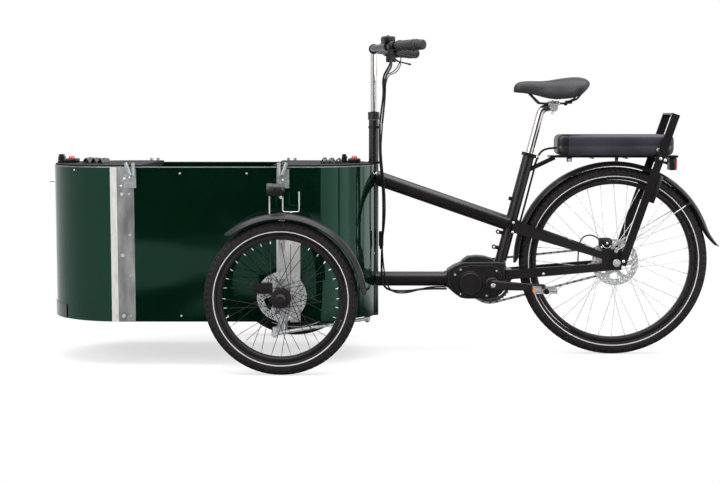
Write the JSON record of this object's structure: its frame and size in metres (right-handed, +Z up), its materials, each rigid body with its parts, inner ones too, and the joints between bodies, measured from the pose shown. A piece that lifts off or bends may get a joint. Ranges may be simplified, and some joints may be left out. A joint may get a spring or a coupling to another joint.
{
  "type": "cargo tricycle",
  "caption": "Electric cargo tricycle with a rounded green front box, linked front wheels that steer under it, mid motor, chain drive and a rear wheel.",
  "frame": {"origin": "on the ground under the middle of the overall box", "axes": "+X to the rear, +Y to the rider's right, +Z up"},
  "size_m": [2.324, 0.892, 1.0924],
  "materials": {
    "frame_black": "satin black powder coat",
    "box_green": "glossy dark green",
    "column_paint": "satin",
    "strip_metal": "brushed",
    "fitting_steel": "zinc plated",
    "floor_wood": "dark sealed",
    "board_wood": "matte black",
    "chrome": "polished",
    "black_plastic": "fine grain",
    "guard_plastic": "satin dark grey",
    "tyre": "matte",
    "rim_black": "satin black",
    "spoke_steel": "bright",
    "bar_black": "satin black",
    "hub": "satin",
    "chain_steel": "oiled",
    "crank_black": "anodised",
    "pedal": "satin",
    "saddle": "matte",
    "grip": "ribbed",
    "red_button": "gloss red",
    "webbing": "woven",
    "cable": "matte",
    "lamp": "red lens in black case"
  },
  "bodies": {
    "frame": {"column_tube": "column_paint", "top_tube": "frame_black", "lower_tube": "frame_black", "seat_tube": "frame_black", "rear_stays": "frame_black", "base_frame": "frame_black", "front_panel": "box_green", "side_panels": "box_green", "rear_panels": "box_green", "seam_strips": "strip_metal", "floor_board": "floor_wood", "end_boards": "board_wood", "canopy_brackets": "fitting_steel", "box_fasteners": "fitting_steel", "harness": "webbing", "rear_calliper": "black_plastic", "chain": "chain_steel", "motor_housing": "black_plastic", "seat_collar": "crank_black", "battery_case": "black_plastic", "rack_rail": "frame_black", "carrier_hoop": "frame_black", "tail_light": "lamp", "rear_mudguard": "guard_plastic", "frame_cables": "cable"},
    "steering": {"steering_shaft": "frame_black", "stem": "chrome", "handlebar": "bar_black", "grips": "grip", "controls": "black_plastic", "handlebar_cables": "cable"},
    "assist_button": {"assist_button": "red_button"},
    "left_brake_lever": {"left_brake_lever": "bar_black"},
    "right_brake_lever": {"right_brake_lever": "bar_black"},
    "left_tie_rod": {"left_tie_rod": "fitting_steel"},
    "right_tie_rod": {"right_tie_rod": "fitting_steel"},
    "left_knuckle": {"left_knuckle": "frame_black", "left_front_mudguard": "guard_plastic"},
    "right_knuckle": {"right_knuckle": "frame_black", "right_front_mudguard": "guard_plastic"},
    "left_front_wheel": {"left_front_tyre": "tyre", "left_front_rim": "rim_black", "left_front_hub": "hub"},
    "right_front_wheel": {"right_front_tyre": "tyre", "right_front_rim": "rim_black", "right_front_hub": "hub"},
    "rear_wheel": {"rear_tyre": "tyre", "rear_rim": "rim_black", "rear_spokes": "spoke_steel", "rear_hub": "hub"},
    "rear_sprocket": {"rear_sprocket": "chain_steel"},
    "crank": {"crank_set": "crank_black"},
    "left_pedal": {"left_pedal": "pedal"},
    "right_pedal": {"right_pedal": "pedal"},
    "seat": {"seat_post": "chrome", "saddle": "saddle"},
    "seat_clamp_lever": {"seat_clamp_lever": "chrome"},
    "front_harness_button": {"front_harness_button": "red_button"},
    "rear_harness_button": {"rear_harness_button": "red_button"}
  },
  "joints": [
    {"name": "steer", "type": "hinge", "parent": "frame", "child": "steering", "pos_m": [-0.038, 0, 0.813], "axis": [0, 0, 1], "range_deg": [-25, 25], "deforming": ["handlebar_cables"]},
    {"name": "saddle_height", "type": "slide", "parent": "frame", "child": "seat", "axis": [0.2504, 0, 0.9681], "range_m": [-0.07, 0.06]},
    {"name": "seat_clamp_open", "type": "hinge", "parent": "frame", "child": "seat_clamp_lever", "pos_m": [0.52482, -0.031, 0.6922], "axis": [0.2504, 0, 0.9681], "range_deg": [0, 110]},
    {"name": "rear_wheel_spin", "type": "hinge", "parent": "frame", "child": "rear_wheel", "pos_m": [0.792, 0, 0.326], "axis": [0, 1, 0], "continuous": true},
    {"name": "crank_spin", "type": "hinge", "parent": "frame", "child": "crank", "pos_m": [0.371, 0, 0.249], "axis": [0, 1, 0], "continuous": true},
    {"name": "sprocket_spin", "type": "hinge", "parent": "frame", "child": "rear_sprocket", "pos_m": [0.792, 0.0435, 0.326], "axis": [0, 1, 0], "continuous": true},
    {"name": "front_harness_press", "type": "slide", "parent": "frame", "child": "front_harness_button", "axis": [0, 0, -1], "range_m": [0, 0.003], "stiffness_N_per_m": 800, "springref_m": -0.002},
    {"name": "rear_harness_press", "type": "slide", "parent": "frame", "child": "rear_harness_button", "axis": [0, 0, -1], "range_m": [0, 0.003], "stiffness_N_per_m": 800, "springref_m": -0.002},
    {"name": "assist_press", "type": "slide", "parent": "steering", "child": "assist_button", "axis": [0, 0, -1], "range_m": [0, 0.0015], "stiffness_N_per_m": 800, "springref_m": -0.002},
    {"name": "left_brake", "type": "hinge", "parent": "steering", "child": "left_brake_lever", "pos_m": [0.024, -0.24, 1.0306], "axis": [-0.6624, -0.7491, 0], "range_deg": [0, 10], "stiffness_Nm_per_rad": 1.5, "springref_deg": -5.73},
    {"name": "left_tie_rod_pivot", "type": "hinge", "parent": "steering", "child": "left_tie_rod", "pos_m": [-0.06, -0.05, 0.1287], "axis": [0, 0, 1], "range_deg": [-25, 25]},
    {"name": "left_knuckle_turn", "type": "hinge", "parent": "frame", "child": "left_knuckle", "pos_m": [-0.334, -0.335, 0.226], "axis": [0, 0, 1], "range_deg": [-25, 25]},
    {"name": "left_front_wheel_spin", "type": "hinge", "parent": "left_knuckle", "child": "left_front_wheel", "pos_m": [-0.334, -0.41, 0.247], "axis": [0, 1, 0], "continuous": true},
    {"name": "left_pedal_spin", "type": "hinge", "parent": "crank", "child": "left_pedal", "pos_m": [0.54077, -0.138, 0.2401], "axis": [0, 1, 0], "continuous": true},
    {"name": "right_brake", "type": "hinge", "parent": "steering", "child": "right_brake_lever", "pos_m": [0.024, 0.24, 1.0306], "axis": [0.6624, -0.7491, 0], "range_deg": [0, 10], "stiffness_Nm_per_rad": 1.5, "springref_deg": -5.73},
    {"name": "right_tie_rod_pivot", "type": "hinge", "parent": "steering", "child": "right_tie_rod", "pos_m": [-0.06, 0.05, 0.1287], "axis": [0, 0, 1], "range_deg": [-25, 25]},
    {"name": "right_knuckle_turn", "type": "hinge", "parent": "frame", "child": "right_knuckle", "pos_m": [-0.334, 0.335, 0.226], "axis": [0, 0, 1], "range_deg": [-25, 25]},
    {"name": "right_front_wheel_spin", "type": "hinge", "parent": "right_knuckle", "child": "right_front_wheel", "pos_m": [-0.334, 0.41, 0.247], "axis": [0, 1, 0], "continuous": true},
    {"name": "right_pedal_spin", "type": "hinge", "parent": "crank", "child": "right_pedal", "pos_m": [0.20123, 0.138, 0.2579], "axis": [0, 1, 0], "continuous": true}
  ],
  "couplings": [
    {"joint": "sprocket_spin", "follows": "crank_spin", "ratio": 1.7273},
    {"joint": "left_tie_rod_pivot", "follows": "steer", "ratio": -1},
    {"joint": "left_knuckle_turn", "follows": "steer", "ratio": 1},
    {"joint": "right_tie_rod_pivot", "follows": "steer", "ratio": -1},
    {"joint": "right_knuckle_turn", "follows": "steer", "ratio": 1}
  ]
}
